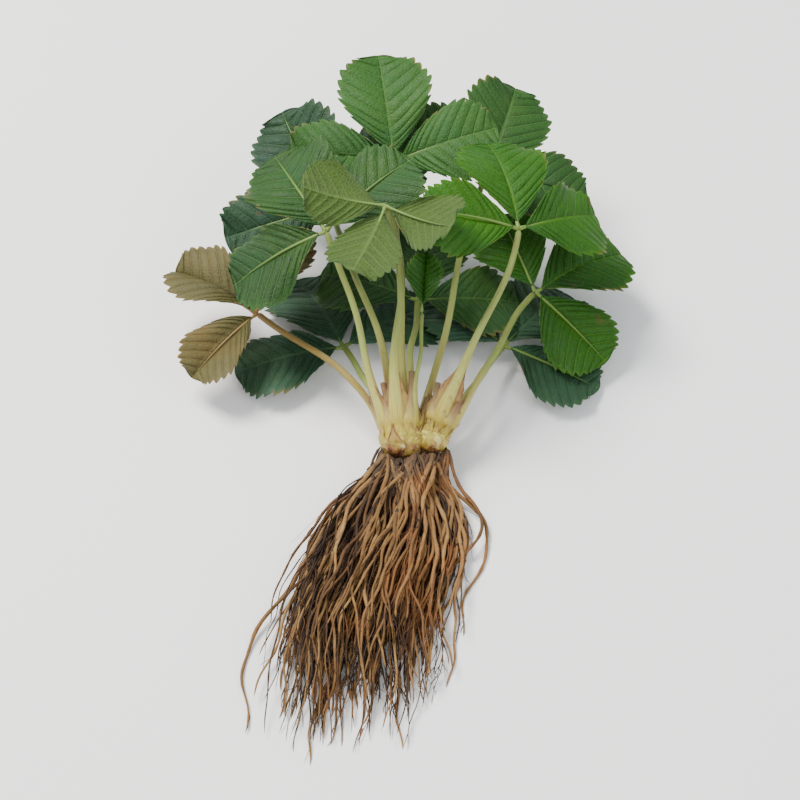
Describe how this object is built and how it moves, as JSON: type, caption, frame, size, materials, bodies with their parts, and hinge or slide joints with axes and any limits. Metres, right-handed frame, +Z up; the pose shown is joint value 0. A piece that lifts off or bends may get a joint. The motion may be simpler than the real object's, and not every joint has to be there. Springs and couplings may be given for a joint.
{
  "type": "bare-root strawberry plant",
  "caption": "Bare-root strawberry plant lying on its side: a short pale crown with long-stalked leaves of toothed leaflets one way and a combed skirt of brown roots the other.",
  "frame": {"origin": "on the floor under the middle of the plant's box, as it lies", "axes": "+Y from the roots to the leaves, +Z up, +X to the right seen from the root end"},
  "size_m": [0.2369, 0.3706, 0.1171],
  "materials": {
    "crown": "cream-yellow living tissue, browner at the root end, satin",
    "stalk": "pale green, finely ribbed, satin",
    "old_stalk": "orange-brown ageing stalk, satin",
    "stipule": "dry papery sheath, matte",
    "leaf_shade": "dark blue-green blade, paler beneath, faint waxy sheen",
    "leaf_mature": "mid-green blade, grey-green beneath, faint waxy sheen",
    "leaf_pale": "blade turned to show its pale grey-green underside, matte",
    "leaf_young": "bright yellow-green young blade, satin",
    "leaf_old": "ageing folded blade with a pinkish underside, matte",
    "root": "tan to dark brown roots dusted with soil, matte"
  },
  "bodies": {
    "root": {"crown": "crown", "leaf_01_stalk": "stalk", "leaf_01_middle_leaflet": "leaf_shade", "leaf_01_left_leaflet": "leaf_shade", "leaf_01_right_leaflet": "leaf_shade", "leaf_02_stalk": "old_stalk", "leaf_02_middle_leaflet": "leaf_old", "leaf_02_left_leaflet": "leaf_old", "leaf_02_right_leaflet": "leaf_old", "leaf_03_stalk": "stalk", "leaf_03_middle_leaflet": "leaf_shade", "leaf_03_left_leaflet": "leaf_shade", "leaf_03_right_leaflet": "leaf_shade", "leaf_04_stalk": "stalk", "leaf_04_middle_leaflet": "leaf_mature", "leaf_04_left_leaflet": "leaf_mature", "leaf_04_right_leaflet": "leaf_mature", "leaf_05_stalk": "stalk", "leaf_05_middle_leaflet": "leaf_pale", "leaf_05_left_leaflet": "leaf_pale", "leaf_05_right_leaflet": "leaf_pale", "leaf_06_stalk": "stalk", "leaf_06_middle_leaflet": "leaf_young", "leaf_06_left_leaflet": "leaf_young", "leaf_06_right_leaflet": "leaf_young", "leaf_07_stalk": "stalk", "leaf_07_middle_leaflet": "leaf_mature", "leaf_07_left_leaflet": "leaf_mature", "leaf_07_right_leaflet": "leaf_mature", "leaf_08_stalk": "stalk", "leaf_08_middle_leaflet": "leaf_shade", "leaf_08_left_leaflet": "leaf_shade", "leaf_08_right_leaflet": "leaf_shade", "leaf_09_stalk": "stalk", "leaf_09_middle_leaflet": "leaf_mature", "leaf_09_left_leaflet": "leaf_mature", "leaf_09_right_leaflet": "leaf_mature", "leaf_10_stalk": "stalk", "leaf_10_middle_leaflet": "leaf_mature", "leaf_10_left_leaflet": "leaf_mature", "leaf_10_right_leaflet": "leaf_mature", "leaf_11_stalk": "stalk", "leaf_11_middle_leaflet": "leaf_young", "leaf_11_left_leaflet": "leaf_young", "leaf_11_right_leaflet": "leaf_young", "young_leaf_stalk": "stalk", "young_leaf_blade": "leaf_young", "stipule_left": "stipule", "stipule_middle": "stipule", "stipule_right": "stipule", "root_bundle_01": "root", "root_bundle_02": "root", "root_bundle_03": "root", "root_bundle_04": "root", "root_bundle_05": "root", "root_bundle_06": "root", "root_bundle_07": "root", "root_bundle_08": "root", "root_bundle_09": "root", "root_bundle_10": "root"}
  },
  "joints": []
}
